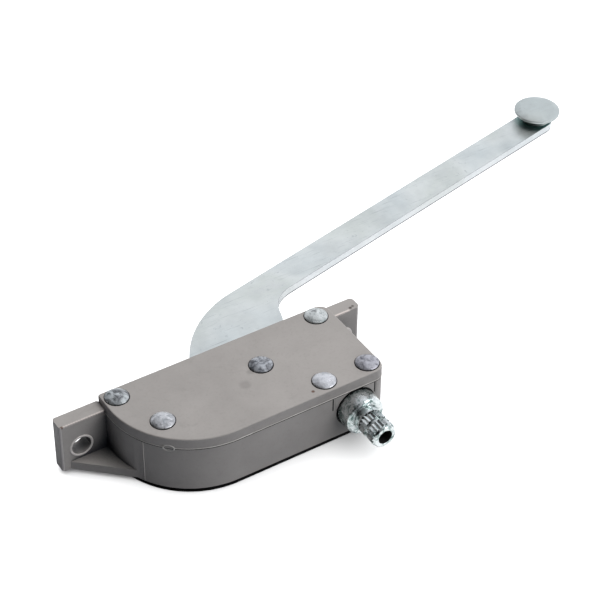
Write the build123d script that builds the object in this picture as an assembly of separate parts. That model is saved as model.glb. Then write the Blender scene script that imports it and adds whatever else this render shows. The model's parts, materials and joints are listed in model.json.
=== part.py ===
from build123d import *
from math import acos, asin, ceil, cos, degrees, pi, radians, sin, tan
import os

# Single-arm casement window operator. Millimetres, +X towards the right-hand ear, +Y out of the back
# where the arm leaves, +Z up through the cover. The origin is midway between the two ear holes, on
# the back mounting plane.

# Casing
casing_length = 90.0
casing_depth = 39.5
cover_thickness = 4.2
wall = 2.6
floor_thickness = 3.0
sweep_radius = 31.3          # big round corner at the front left
corner_radius = 4.0
rear_left_radius = 1.0       # nearly square, behind the left ear
least_corner_radius = 0.6
cover_edge_round = 0.5
cover_pocket_depth = 1.4
lip_depth = 1.5
lip_width = 1.3

# Mounting ears
left_ear_length = 17.2
right_ear_length = 11.8
ear_thickness = 5.7
ear_height = 19.9
left_ear_round = 1.0
right_ear_round = 1.7
ear_hole_radius = 3.5
ear_hole_height = 8.65       # above the underside of the base
ear_hole_inset = 7.5         # from the ear's outer end
gusset_thickness = 3.3
gusset_setback = 3.0         # in from the ear's outer end
gusset_turn = 31.0           # where it meets the big round corner
gusset_root = 1.0            # sunk into the ear

# Rivets
rivet_radius = 2.38
rivet_head_radius = 4.37
rivet_head_height = 1.5
rivet_tail_radius = 3.6
rivet_tail_height = 2.0
boss_wall = 1.32
rivet_edge_inset = 4.6       # back rivets, from the back edge
front_rivet_inset = 5.2      # front rivets, from the front edge
left_rivet_inset = 5.0
sweep_rivet_inset = (12.4, 16.8)
right_rivet_insets = (4.5, 6.1)
tongue_rivet_gap = 1.3       # from the tongue to the middle of the rivet beside it
rivet_rim_share = 0.25       # upright edge of a head, as a share of its height
rivet_tail_bevel = 0.6

# Pivot and gear
pivot_inset = (35.8, 16.2)   # from the right end and the back
tooth_count = 28             # teeth of the full circle the sector is part of
tooth_addendum = 1.1
cutter_overrun = 0.3         # tooth spaces are cut this far past the tips
hub_crown = 2.2              # depth of the tip circle that the closing end of the teeth takes up
tooth_dedendum = 1.5
pressure_angle = 20.0
gear_backlash = 0.40
worm_backlash = 0.15
gear_plate_thickness = 2.0
gear_hub_edge = 4.0          # from the tooth roots in to the plates' round hub
gear_rivet_radius = 1.6
gear_rivet_gap = 1.9         # from the pivot washer to the rivets' heads
gear_rivet_head = (2.4, 0.7)
gear_rivet_angles = (-88, -45, -2)
sector_margins = (50.0, 18.0)  # plate past the open and the closed ends of the swing
sleeve_wall = 2.62
pivot_washer_width = 3.0
pivot_washer_thickness = 1.0
running_gap = 0.05

# Arm, drawn in its closed position, with the bar along X
closed_angle = 12.5          # rest position of the bar from closed
open_angle = 76.0            # further swing from rest
bar_width = 12.7
arm_thickness = 3.2
bar_offset = 37.9            # bar centreline from the pivot
arm_reach = 191.8            # tip hole from the pivot, along the bar
neck_radius = 45.0
neck_start = 27.0
neck_flank = (15.0, 6.0)
neck_foot = (15.0, 17.5)
neck_heel = (30.4, 19.8)
neck_throat = 37.2
throat_round = 13.0
heel_round = 3.0
foot_round = 2.0

# Track button
button_radius = 9.1
button_rim = 1.0
button_height = 5.7
button_neck_radius = 4.9
button_foot_radius = 5.5
button_foot_heights = (0.4, 0.9)
button_rim_edges = (0.5, 0.3)  # lower edge of the rim: in, down
button_crown = (2.7, 1.0)      # slope from the rim up to the flat top: in, up
button_shank_radius = 3.0
button_tail_radius = 4.0
button_tail_height = 1.3
button_tail_bevel = 0.6
button_washer_radius = 5.8
button_washer_thickness = 0.8

# Worm shaft
shaft_inset = 12.3           # from the right end
worm_pitch_radius = 6.0
worm_floor_gap = 0.35
worm_cover_gap = 0.75
worm_rear_reach = 4.6        # thread runs past the pivot by this much
front_journal_radius = 4.5
rear_journal_radius = 3.5
journal_gap = 0.04
collar_radius = 7.3
collar_length = 6.6          # in front of the casing
collar_root = 0.3            # inside the wall's inner face
collar_bevel = 0.7
land_length = 2.4
spline_radius = 4.765
spline_crest_radius = 4.74
spline_root_radius = 4.2
spline_count = 20
spline_lengths = (3.2, 3.4)
groove_radius = 3.95
groove_length = 1.5
nose_radius = 4.25
nose_length = 1.0
nose_bevel = 0.35
end_hole_radius = 2.7
end_hole_depth = 8.0

# Bearings, washers and seal
collar_gap = 0.5
tongue_side = 0.5            # tongue on each side of the shaft's hole
tongue_drop = 6.0
tongue_gap = 0.05
seal_gap = 0.05
seal_recess = 0.5
seal_length = 1.7
front_bearing_side = 1.9     # bearing on each side of its journal
front_bearing_length = 3.6
rear_bearing_side = 1.5
rear_bearing_length = 3.0
thrust_washer_thickness = 0.7
thrust_washer_widths = (1.7, 1.5)
shaft_tunnel_gap = 0.4
bearing_wall = 0.9

# Arm slot in the back wall
slot_clearance = 0.6
slot_side_gap = 1.0          # beside the left rivet's boss and the arm's neck
gear_sweep_gap = 0.5         # clear space all round the teeth

# Fits
boss_radius = rivet_radius + boss_wall
sleeve_radius = rivet_radius + sleeve_wall
pivot_washer_radius = sleeve_radius + pivot_washer_width
gear_rivet_circle = pivot_washer_radius + gear_rivet_gap + gear_rivet_head[0]
shaft_hole_radius = collar_radius + collar_gap
tongue_half_width = shaft_hole_radius + tongue_side
front_bearing_half_width = front_journal_radius + front_bearing_side
rear_bearing_half_width = rear_journal_radius + rear_bearing_side
front_washer_radius = front_journal_radius + thrust_washer_widths[0]
rear_washer_radius = rear_journal_radius + thrust_washer_widths[1]

# Places
overall_length = left_ear_length + casing_length + right_ear_length
hole_spacing = overall_length - 2 * ear_hole_inset
casing_left = left_ear_length - overall_length / 2
casing_right = casing_left + casing_length
casing_front = -casing_depth
bottom = -ear_hole_height
floor_top = bottom + floor_thickness
worm_tip_radius = worm_pitch_radius + tooth_addendum
shaft_z = floor_top + worm_floor_gap + worm_tip_radius
parting = shaft_z + worm_tip_radius + worm_cover_gap
top = parting + cover_thickness
pivot_x = casing_right - pivot_inset[0]
pivot_y = -pivot_inset[1]
shaft_x = casing_right - shaft_inset

# Gear and worm
gear_pitch_radius = shaft_x - pivot_x - worm_pitch_radius
tooth_pitch = 2 * pi * gear_pitch_radius / tooth_count
gear_tip_radius = gear_pitch_radius + tooth_addendum
gear_root_radius = gear_pitch_radius - tooth_dedendum
gear_hub_radius = gear_root_radius - gear_hub_edge
worm_root_radius = worm_pitch_radius - tooth_dedendum
arm_bottom = shaft_z - arm_thickness / 2
arm_top = arm_bottom + arm_thickness
stack_bottom = arm_bottom - gear_plate_thickness
stack_top = arm_top + gear_plate_thickness
lower_boss_top = stack_bottom - running_gap - pivot_washer_thickness
upper_boss_bottom = stack_top + running_gap + pivot_washer_thickness + running_gap
slot_low = stack_bottom - gear_rivet_head[1] - slot_clearance
slot_high = stack_top + gear_rivet_head[1] + slot_clearance

# Stations along the shaft, from the front inwards
wall_inner = casing_front + wall
front_bearing_front = casing_front + front_rivet_inset + rivet_radius + bearing_wall
front_bearing_rear = front_bearing_front + front_bearing_length
worm_front = front_bearing_rear + thrust_washer_thickness + 2 * running_gap
worm_rear = pivot_y + worm_rear_reach
rear_bearing_front = worm_rear + thrust_washer_thickness + 2 * running_gap
rear_bearing_rear = rear_bearing_front + rear_bearing_length
collar_front = casing_front - collar_length
land_front = collar_front - land_length
first_spline_front = land_front - spline_lengths[0]
groove_front = first_spline_front - groove_length
second_spline_front = groove_front - spline_lengths[1]
shaft_front = second_spline_front - nose_length

cover_rivet_places = [
    (casing_left + left_rivet_inset, -rivet_edge_inset),
    (casing_left + sweep_rivet_inset[0], casing_front + sweep_rivet_inset[1]),
    (shaft_x - tongue_half_width - tongue_rivet_gap, casing_front + front_rivet_inset),
    (casing_right - right_rivet_insets[0], casing_front + front_rivet_inset),
    (casing_right - right_rivet_insets[1], -rivet_edge_inset),
]


def block(x_range, y_range, z_range):
    """Box between two values on each axis."""
    size = [high - low for low, high in (x_range, y_range, z_range)]
    corner = Pos(x_range[0], y_range[0], z_range[0])
    return corner * Box(*size, align=(Align.MIN, Align.MIN, Align.MIN))


def post(place, radius, z_range):
    """Upright cylinder."""
    height = z_range[1] - z_range[0]
    foot = Pos(place[0], place[1], z_range[0])
    return foot * Cylinder(radius, height, align=(Align.CENTER, Align.CENTER, Align.MIN))


def shaft_run(radius, y_range):
    """Cylinder about the shaft's axis."""
    middle = (y_range[0] + y_range[1]) / 2
    return Pos(shaft_x, middle, shaft_z) * Rot(90, 0, 0) * Cylinder(radius, y_range[1] - y_range[0])


def ring(place, outer, inner, z_range):
    return post(place, outer, z_range) - post(place, inner, z_range)


def shaft_ring(outer, inner, y_range):
    return shaft_run(outer, y_range) - shaft_run(inner, y_range)


def casing_outline(inset):
    """Plan of the casing, drawn in by an inset."""
    length = casing_length - 2 * inset
    depth = casing_depth - 2 * inset
    centre = Pos((casing_left + casing_right) / 2, casing_front / 2)
    outline = centre * Rectangle(length, depth)
    small = max(corner_radius - inset, least_corner_radius)
    tight = max(rear_left_radius - inset, least_corner_radius)
    rear_left, swept = outline.vertices().group_by(Axis.X)[0].sort_by(Axis.Y, reverse=True)
    outline = fillet(outline.vertices().group_by(Axis.X)[-1], small)
    outline = fillet(outline.vertices().sort_by_distance(rear_left)[0], tight)
    largest = depth - tight - least_corner_radius
    return fillet(outline.vertices().sort_by_distance(swept)[0], min(sweep_radius - inset, largest))


def prism(face, z_range):
    return Pos(0, 0, z_range[0]) * extrude(face, amount=z_range[1] - z_range[0])


def gusset_end(side, reach):
    """Where a gusset's slanted edge runs into the casing's wall."""
    if side > 0:
        return casing_right - wall / 2, -ear_thickness - reach - wall / 2
    turn = radians(gusset_turn)
    radius = sweep_radius - wall / 2
    return (casing_left + sweep_radius - radius * cos(turn),
            casing_front + sweep_radius - radius * sin(turn))


def make_ear(side):
    """One mounting ear with its gusset; side is -1 for the left and 1 for the right."""
    outer = side * overall_length / 2
    inner = casing_left if side < 0 else casing_right
    ear_top = bottom + ear_height
    ear_round = left_ear_round if side < 0 else right_ear_round
    ear = block(sorted((outer, inner)), (-ear_thickness, 0), (bottom, ear_top))
    ear = fillet(ear.edges().filter_by(Axis.Z), ear_round)
    root = block(sorted((inner - side * wall, inner + side * 2 * ear_round)), (-ear_thickness, 0), (bottom, parting))
    tip = outer - side * gusset_setback
    far_x, far_y = gusset_end(side, abs(tip - inner))
    gusset = make_face(Polyline((tip, -ear_thickness + gusset_root), (tip, -ear_thickness), (far_x, far_y),
                                (far_x, -ear_thickness + gusset_root), close=True))
    return ear + root + prism(gusset, (bottom, bottom + gusset_thickness))


def ear_hole(side):
    place = Pos(side * hole_spacing / 2, -ear_thickness / 2, 0)
    return place * Rot(90, 0, 0) * Cylinder(ear_hole_radius, 2 * ear_thickness)


def tongue_opening(gap):
    """Notch in the front wall that the cover's tongue fills."""
    half = tongue_half_width - gap
    return block((shaft_x - half, shaft_x + half), (casing_front, wall_inner),
                 (parting - tongue_drop + gap, parting))


def shaft_openings():
    wall_hole = shaft_run(shaft_hole_radius, (casing_front - 1, wall_inner))
    tunnel = shaft_run(front_journal_radius + shaft_tunnel_gap, (wall_inner - 0.1, front_bearing_front + 0.1))
    return wall_hole + tunnel


def front_bearing_space():
    half = front_bearing_half_width
    return block((shaft_x - half, shaft_x + half), (front_bearing_front, front_bearing_rear),
                 (floor_top, parting))


def rear_bearing_space():
    half = rear_bearing_half_width
    return block((shaft_x - half, shaft_x + half), (rear_bearing_front, rear_bearing_rear),
                 (floor_top, parting))


def arm_slot():
    """Opening in the back wall that the arm and the gear plates sweep through."""
    left = casing_left + left_rivet_inset + boss_radius + slot_side_gap
    right = pivot_x + neck_foot[0] + slot_side_gap
    return block((left, right), (-wall - boss_radius, 1), (slot_low, slot_high))


def gear_sweep():
    """Space that the turning gear needs."""
    return post((pivot_x, pivot_y), gear_tip_radius + gear_sweep_gap, (slot_low, slot_high))


def make_base():
    outside = prism(casing_outline(0), (bottom, parting))
    cavity = prism(casing_outline(wall), (floor_top, parting + 1))
    base = outside + make_ear(-1) + make_ear(1) - cavity
    for place in cover_rivet_places:
        base += post(place, boss_radius, (bottom, parting)) & outside
    inner_right = casing_right - wall
    seat_left = shaft_x - front_bearing_half_width - bearing_wall
    base += block((seat_left, inner_right), (wall_inner, front_bearing_rear), (floor_top, parting)) & outside
    rear_left = shaft_x - rear_bearing_half_width
    base += block((rear_left, inner_right), (rear_bearing_rear, -wall), (floor_top, parting))
    base += block((shaft_x + rear_bearing_half_width, inner_right),
                  (rear_bearing_front, rear_bearing_rear), (floor_top, parting))
    base += block((rear_left - bearing_wall, rear_left), (rear_bearing_front, rear_bearing_rear + bearing_wall),
                  (floor_top, slot_low))
    base += post((pivot_x, pivot_y), pivot_washer_radius, (floor_top, lower_boss_top))
    base -= arm_slot()
    base -= gear_sweep()
    base -= front_bearing_space()
    base -= rear_bearing_space()
    base -= tongue_opening(0)
    base -= shaft_openings()
    for side in (-1, 1):
        base -= ear_hole(side)
    for place in cover_rivet_places + [(pivot_x, pivot_y)]:
        base -= post(place, rivet_radius, (bottom - 1, parting + 1))
    return base


def make_cover():
    plate = prism(casing_outline(0), (parting, top))
    plate = fillet(plate.edges().group_by(Axis.Z)[-1], cover_edge_round)
    open_right = shaft_x - tongue_half_width - wall
    kept_side = block((casing_left, open_right), (casing_front, 0), (parting - lip_depth, parting + cover_thickness))
    pocket = prism(casing_outline(2 * wall), (parting, parting + cover_pocket_depth)) & kept_side
    lip_inset = wall + 2 * running_gap
    lip = prism(casing_outline(lip_inset), (parting - lip_depth, parting))
    lip -= prism(casing_outline(lip_inset + lip_width), (parting - lip_depth, parting))
    lip = lip & kept_side
    for place in cover_rivet_places:
        pocket -= post(place, boss_radius + 1, (parting, top))
        lip -= post(place, boss_radius + 2 * running_gap, (parting - lip_depth, parting))
    pocket -= post((pivot_x, pivot_y), pivot_washer_radius + 1, (parting, top))
    cover = plate - pocket + lip
    cover += post((pivot_x, pivot_y), pivot_washer_radius, (upper_boss_bottom, parting))
    cover += tongue_opening(tongue_gap)
    cover -= shaft_run(shaft_hole_radius, (casing_front - 1, wall_inner + 1))
    for place in cover_rivet_places + [(pivot_x, pivot_y)]:
        cover -= post(place, rivet_radius, (parting - tongue_drop - 1, top + 1))
    return cover


def make_rivet(place):
    """Solid rivet with a low domed head on the cover and a bucked tail under the base."""
    rim = rivet_head_height * rivet_rim_share
    rise = rivet_head_height - rim
    dome_radius = (rivet_head_radius ** 2 + rise ** 2) / (2 * rise)
    crown = top + rivet_head_height
    middle_turn = asin(rivet_head_radius / dome_radius) / 2
    dome_middle = (dome_radius * sin(middle_turn), crown - dome_radius * (1 - cos(middle_turn)))
    head = Curve() + [Polyline((0, crown), (0, top), (rivet_head_radius, top), (rivet_head_radius, top + rim)),
                      ThreePointArc((rivet_head_radius, top + rim), dome_middle, (0, crown))]
    head_face = make_face(Plane.XZ * head)
    tail_low = bottom - rivet_tail_height
    tail = Plane.XZ * Polyline((0, tail_low), (rivet_tail_radius - rivet_tail_bevel, tail_low),
                               (rivet_tail_radius, tail_low + rivet_tail_bevel), (rivet_tail_radius, bottom),
                               (0, bottom), close=True)
    body = revolve(head_face, Axis.Z) + revolve(make_face(tail), Axis.Z)
    return Pos(place[0], place[1], 0) * body + post(place, rivet_radius, (bottom, top))


def gear_gap(angle):
    """One space between teeth, with involute flanks, on a radius at this angle."""
    base_radius = gear_pitch_radius * cos(radians(pressure_angle))
    half_thickness = (tooth_pitch / 2 - gear_backlash) / (2 * gear_pitch_radius)
    involute_pitch = tan(radians(pressure_angle)) - radians(pressure_angle)
    low, high = gear_root_radius, gear_tip_radius + cutter_overrun
    flank = []
    for step in range(7):
        radius = low + (high - low) * step / 6
        slope = acos(min(1, base_radius / max(radius, base_radius)))
        half_gap = pi / tooth_count - half_thickness - involute_pitch + tan(slope) - slope
        flank.append((radius, half_gap))
    left = [(r * cos(g), r * sin(g)) for r, g in flank]
    right = [(r * cos(g), -r * sin(g)) for r, g in reversed(flank)]
    return Rot(0, 0, angle) * make_face(Polyline(*left, *right, close=True))


def helix_turn(height):
    """Turn of the teeth that follows the worm's thread at a height from its axis."""
    rise = tooth_pitch * asin(height / worm_pitch_radius) / (2 * pi)
    return degrees(rise / gear_pitch_radius)


def cut_teeth(face, height):
    """Cut the sector's tooth spaces, from the open end to the closed end of the swing."""
    step = 360 / tooth_count
    first = -ceil((open_angle + degrees(acos((gear_tip_radius - hub_crown) / gear_tip_radius))) / step)
    last = ceil((closed_angle + degrees(asin(worm_rear_reach / gear_tip_radius)) - step / 2) / step)
    for index in range(first, last + 1):
        face -= gear_gap(index * step + helix_turn(height))
    return face


def arm_outline():
    """Plan of the arm about its pivot, closed: hub, curved neck, straight bar and round tip."""
    low = bar_offset - bar_width / 2
    high = bar_offset + bar_width / 2
    centre_v = high - neck_radius
    arc_middle = (neck_start - neck_radius * sin(radians(45)), centre_v + neck_radius * cos(radians(45)))
    arc_foot = (neck_start - neck_radius, centre_v)
    edges = [ThreePointArc((neck_start, high), arc_middle, arc_foot),
             Polyline(arc_foot, (0, 0), neck_flank, neck_foot, neck_heel, (neck_throat, low),
                      (arm_reach, low)),
             ThreePointArc((arm_reach, low), (arm_reach + bar_width / 2, bar_offset), (arm_reach, high)),
             Line((arm_reach, high), (neck_start, high))]
    plan = make_face(Curve(edges))
    throat = plan.vertices().sort_by_distance((neck_throat, low))[0]
    plan = fillet(throat, throat_round)
    heel = plan.vertices().sort_by_distance(neck_heel)[0]
    plan = fillet(heel, heel_round)
    foot = plan.vertices().sort_by_distance(neck_foot)[0]
    return fillet(foot, foot_round)


def placed_on_pivot(shape):
    return Pos(pivot_x, pivot_y, 0) * shape


def tip_place():
    turn = radians(closed_angle)
    return (pivot_x + arm_reach * cos(turn) - bar_offset * sin(turn),
            pivot_y + arm_reach * sin(turn) + bar_offset * cos(turn))


def gear_rivet_places():
    return [(gear_rivet_circle * cos(radians(angle)), gear_rivet_circle * sin(radians(angle)))
            for angle in gear_rivet_angles]


def bored(face):
    face -= Circle(sleeve_radius + running_gap)
    for place in gear_rivet_places():
        face -= Pos(*place) * Circle(gear_rivet_radius)
    return face


def make_arm():
    plan = Rot(0, 0, closed_angle) * arm_outline() + Circle(gear_tip_radius)
    plan = bored(cut_teeth(plan, 0))
    arm = placed_on_pivot(prism(plan, (arm_bottom, arm_top)))
    return arm - post(tip_place(), button_shank_radius, (arm_bottom - 1, arm_top + 1))


def make_gear_plate(z_range):
    """Toothed sector plate riveted to the arm's hub."""
    far = 2 * gear_tip_radius
    first = -open_angle - sector_margins[0]
    quarter = (closed_angle + sector_margins[1] - first) / 4
    spread = [radians(first + index * quarter) for index in range(5)]
    rays = [(far * cos(turn), far * sin(turn)) for turn in spread]
    sector = make_face(Polyline((0, 0), *rays, close=True)) & Circle(gear_tip_radius)
    middle = (z_range[0] + z_range[1]) / 2 - shaft_z
    plan = bored(cut_teeth(sector + Circle(gear_hub_radius), middle))
    return placed_on_pivot(prism(plan, z_range))


def make_gear_rivet(place):
    head_radius, head_height = gear_rivet_head
    body = post(place, gear_rivet_radius, (stack_bottom, stack_top))
    body += post(place, head_radius, (stack_top, stack_top + head_height))
    body += post(place, head_radius, (stack_bottom - head_height, stack_bottom))
    return placed_on_pivot(body)


def make_button():
    """Mushroom button that runs in the sash track, staked through the arm."""
    crown = arm_top + button_height
    rim_top = crown - button_crown[1]
    rim_bottom = rim_top - button_rim
    tail_top = arm_bottom - button_washer_thickness
    tail_low = tail_top - button_tail_height
    profile = Plane.XZ * Polyline(
        (0, tail_low), (button_tail_radius - button_tail_bevel, tail_low),
        (button_tail_radius, tail_low + button_tail_bevel), (button_tail_radius, tail_top),
        (button_shank_radius, tail_top), (button_shank_radius, arm_top), (button_foot_radius, arm_top),
        (button_foot_radius, arm_top + button_foot_heights[0]),
        (button_neck_radius, arm_top + button_foot_heights[1]),
        (button_radius - button_rim_edges[0], rim_bottom - button_rim_edges[1]),
        (button_radius, rim_bottom), (button_radius, rim_top),
        (button_radius - button_crown[0], crown), (0, crown), close=True)
    place = tip_place()
    return Pos(place[0], place[1], 0) * revolve(make_face(profile), Axis.Z)


def worm_thread():
    """Single-start right-hand thread with straight flanks, cut flat at both ends."""
    slope = tan(radians(pressure_angle))
    root = worm_root_radius - 0.1
    half_pitch_thickness = (tooth_pitch / 2 - worm_backlash) / 2
    half_root = half_pitch_thickness + (worm_pitch_radius - root) * slope
    half_tip = half_pitch_thickness - tooth_addendum * slope
    turns_before = ceil((pivot_y - worm_front) / tooth_pitch) + 1
    turns = turns_before + ceil((worm_rear - pivot_y) / tooth_pitch) + 1
    path = Helix(pitch=tooth_pitch, height=turns * tooth_pitch, radius=worm_pitch_radius)
    profile = make_face(Plane.XZ * Polyline((root, -half_root), (worm_tip_radius, -half_tip),
                                            (worm_tip_radius, half_tip), (root, half_root), close=True))
    thread = sweep(profile, path=path, is_frenet=True)
    # The helix starts at +X about +Z; turned so that its axis is +Y and it starts facing the gear.
    start_y = pivot_y - turns_before * tooth_pitch
    turned = Pos(shaft_x, start_y, shaft_z) * Rot(-90, 0, 0) * Rot(0, 0, 180) * thread
    return turned & shaft_run(worm_tip_radius + 1, (worm_front, worm_rear))


def spline_run(y_range):
    """Serrated stretch that the crank handle grips."""
    points = []
    for index in range(2 * spline_count):
        radius = spline_crest_radius if index % 2 == 0 else spline_root_radius
        turn = pi * index / spline_count
        points.append((radius * cos(turn), radius * sin(turn)))
    bar = extrude(make_face(Polyline(*points, close=True)), amount=y_range[1] - y_range[0])
    return Pos(shaft_x, y_range[1], shaft_z) * Rot(90, 0, 0) * bar


def make_worm_shaft():
    collar = shaft_run(collar_radius, (collar_front, wall_inner - collar_root))
    collar = chamfer(collar.edges().group_by(Axis.Y)[0], collar_bevel)
    nose = shaft_run(nose_radius, (shaft_front, second_spline_front))
    nose = chamfer(nose.edges().group_by(Axis.Y)[0], nose_bevel)
    shaft = shaft_run(worm_root_radius, (worm_front, worm_rear))
    shaft += worm_thread()
    shaft += shaft_run(rear_journal_radius, (worm_rear, rear_bearing_rear - 2 * running_gap))
    shaft += shaft_run(front_journal_radius, (wall_inner - collar_root, worm_front))
    shaft += collar
    shaft += shaft_run(spline_radius, (land_front, collar_front))
    shaft += spline_run((first_spline_front, land_front))
    shaft += shaft_run(groove_radius, (groove_front, first_spline_front))
    shaft += spline_run((second_spline_front, groove_front))
    shaft += nose
    return shaft - shaft_run(end_hole_radius, (shaft_front - 1, shaft_front + end_hole_depth))


def make_front_bearing():
    bore = shaft_run(front_journal_radius + journal_gap, (front_bearing_front - 1, front_bearing_rear + 1))
    return front_bearing_space() - bore - gear_sweep()


def make_rear_bearing():
    bore = shaft_run(rear_journal_radius + journal_gap, (rear_bearing_front - 1, rear_bearing_rear + 1))
    return rear_bearing_space() - bore - gear_sweep()


def make_parts():
    pivot = (pivot_x, pivot_y)
    seal_front = casing_front + seal_recess
    front_washer_y = (front_bearing_rear + running_gap, worm_front - running_gap)
    rear_washer_y = (worm_rear + running_gap, rear_bearing_front - running_gap)
    lower_washer_z = (lower_boss_top, lower_boss_top + pivot_washer_thickness)
    upper_washer_z = (stack_top + running_gap, stack_top + running_gap + pivot_washer_thickness)
    washer_bore = sleeve_radius + running_gap
    return {
        "base_housing": make_base(),
        "cover_plate": make_cover(),
        "cover_rivets": Compound([make_rivet(place) for place in cover_rivet_places]),
        "pivot_rivet": make_rivet(pivot),
        "pivot_sleeve": ring(pivot, sleeve_radius, rivet_radius, (lower_boss_top, upper_boss_bottom)),
        "lower_pivot_washer": ring(pivot, pivot_washer_radius, washer_bore, lower_washer_z),
        "upper_pivot_washer": ring(pivot, pivot_washer_radius, washer_bore, upper_washer_z),
        "operator_arm": make_arm(),
        "lower_gear_plate": make_gear_plate((stack_bottom, arm_bottom)),
        "upper_gear_plate": make_gear_plate((arm_top, stack_top)),
        "gear_rivets": Compound([make_gear_rivet(place) for place in gear_rivet_places()]),
        "track_button": make_button(),
        "button_washer": ring(tip_place(), button_washer_radius, button_shank_radius,
                              (arm_bottom - button_washer_thickness, arm_bottom)),
        "worm_shaft": make_worm_shaft(),
        "front_bearing": make_front_bearing(),
        "rear_bearing": make_rear_bearing(),
        "front_thrust_washer": shaft_ring(front_washer_radius, front_journal_radius + running_gap, front_washer_y),
        "rear_thrust_washer": shaft_ring(rear_washer_radius, rear_journal_radius + running_gap, rear_washer_y),
        "shaft_seal": shaft_ring(shaft_hole_radius, collar_radius + seal_gap,
                                 (seal_front, seal_front + seal_length)),
    }


os.makedirs("parts", exist_ok=True)
for name, shape in make_parts().items():
    export_step(shape, f"parts/{name}.step")
    print(name, round(shape.volume, 1))
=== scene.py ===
import json
import math

import bmesh
import bpy
from mathutils import Matrix, Vector

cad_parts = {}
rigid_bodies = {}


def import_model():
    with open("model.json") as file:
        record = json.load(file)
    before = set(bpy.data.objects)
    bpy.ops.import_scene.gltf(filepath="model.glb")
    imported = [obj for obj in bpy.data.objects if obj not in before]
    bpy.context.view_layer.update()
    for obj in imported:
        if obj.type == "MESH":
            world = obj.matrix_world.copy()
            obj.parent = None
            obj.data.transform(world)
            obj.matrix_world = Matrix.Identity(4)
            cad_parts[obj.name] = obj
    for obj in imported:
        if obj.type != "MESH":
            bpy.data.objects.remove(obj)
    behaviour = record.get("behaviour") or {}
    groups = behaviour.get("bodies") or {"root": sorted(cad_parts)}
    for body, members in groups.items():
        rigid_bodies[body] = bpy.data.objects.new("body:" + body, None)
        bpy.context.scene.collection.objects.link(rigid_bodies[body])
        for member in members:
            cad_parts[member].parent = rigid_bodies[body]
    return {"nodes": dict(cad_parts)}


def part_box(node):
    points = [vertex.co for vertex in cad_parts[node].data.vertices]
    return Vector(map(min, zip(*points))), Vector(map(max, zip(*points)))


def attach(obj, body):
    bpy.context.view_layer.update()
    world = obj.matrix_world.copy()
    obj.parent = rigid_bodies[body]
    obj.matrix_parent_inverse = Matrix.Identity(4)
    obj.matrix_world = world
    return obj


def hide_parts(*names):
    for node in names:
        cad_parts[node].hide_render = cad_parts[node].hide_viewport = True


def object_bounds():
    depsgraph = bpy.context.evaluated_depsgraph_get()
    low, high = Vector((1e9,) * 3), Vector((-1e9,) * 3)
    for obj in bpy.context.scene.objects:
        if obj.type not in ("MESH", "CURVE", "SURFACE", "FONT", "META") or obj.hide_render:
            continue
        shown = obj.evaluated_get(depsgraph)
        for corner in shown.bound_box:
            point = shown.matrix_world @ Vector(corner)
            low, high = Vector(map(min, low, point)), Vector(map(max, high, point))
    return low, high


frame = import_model()
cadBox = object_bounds()
nodes = frame["nodes"]
mm = 0.001
print("frame loaded:", len(nodes), "nodes")


# ---------- small helpers for selecting and finishing by hand ----------

def deselectAll():
    if bpy.context.object and bpy.context.object.mode != "OBJECT":
        bpy.ops.object.mode_set(mode="OBJECT")
    bpy.ops.object.select_all(action="DESELECT")


def pick(piece):
    deselectAll()
    piece.select_set(True)
    bpy.context.view_layer.objects.active = piece


def centreOf(node):
    low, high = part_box(node)
    return (Vector(low) + Vector(high)) / 2


def settle(piece, name):  # place goes into the mesh, object stays at the origin
    pick(piece)
    bpy.ops.object.transform_apply(location=True, rotation=True, scale=True)
    piece.name = name
    piece.data.name = name
    return piece


def applyModifier(piece, kind, **settings):
    pick(piece)
    modifier = piece.modifiers.new(kind.title(), kind)
    for key, value in settings.items():
        setattr(modifier, key, value)
    bpy.ops.object.modifier_apply(modifier=modifier.name)


def roundedCopy(node, name, width, angle=30, segments=2):  # CAD shape with its sharp edges broken
    piece = nodes[node].copy()
    piece.data = nodes[node].data.copy()
    bpy.context.scene.collection.objects.link(piece)
    piece.parent = None
    piece.matrix_world = Matrix.Identity(4)
    pick(piece)
    bpy.ops.object.mode_set(mode="EDIT")
    bpy.ops.mesh.select_all(action="SELECT")
    bpy.ops.mesh.remove_doubles(threshold=0.002 * mm)
    bpy.ops.mesh.dissolve_limited(angle_limit=math.radians(0.6))
    bpy.ops.object.mode_set(mode="OBJECT")
    applyModifier(piece, "BEVEL", width=width, segments=segments, limit_method="ANGLE",
                  angle_limit=math.radians(angle), use_clamp_overlap=True, harden_normals=False)
    pick(piece)
    bpy.ops.object.shade_smooth_by_angle(angle=math.radians(40))
    applyModifier(piece, "WEIGHTED_NORMAL", mode="FACE_AREA", weight=90, keep_sharp=True)
    piece.name = name
    piece.data.name = name
    return piece


def turned(profile, place, name, steps=64):  # lathe work: a profile of (radius, height) spun round +Z
    deselectAll()
    bpy.ops.mesh.primitive_plane_add(size=mm, location=(0, 0, 0))
    piece = bpy.context.object
    bpy.ops.object.mode_set(mode="EDIT")
    bpy.ops.mesh.delete(type="VERT")
    bpy.ops.object.mode_set(mode="OBJECT")
    piece.data.from_pydata([(r, 0, z) for r, z in profile], [(i, i + 1) for i in range(len(profile) - 1)], [])
    pick(piece)
    bpy.ops.object.mode_set(mode="EDIT")
    bpy.ops.mesh.select_all(action="SELECT")
    bpy.ops.mesh.spin(steps=steps, angle=2 * math.pi, center=(0, 0, 0), axis=(0, 0, 1))
    bpy.ops.mesh.select_all(action="SELECT")
    bpy.ops.mesh.remove_doubles(threshold=0.002 * mm)
    bpy.ops.mesh.normals_make_consistent(inside=False)
    bpy.ops.object.mode_set(mode="OBJECT")
    piece.location = place
    settle(piece, name)
    bpy.ops.object.shade_smooth_by_angle(angle=math.radians(35))
    return piece


# ---------- camera ----------

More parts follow.
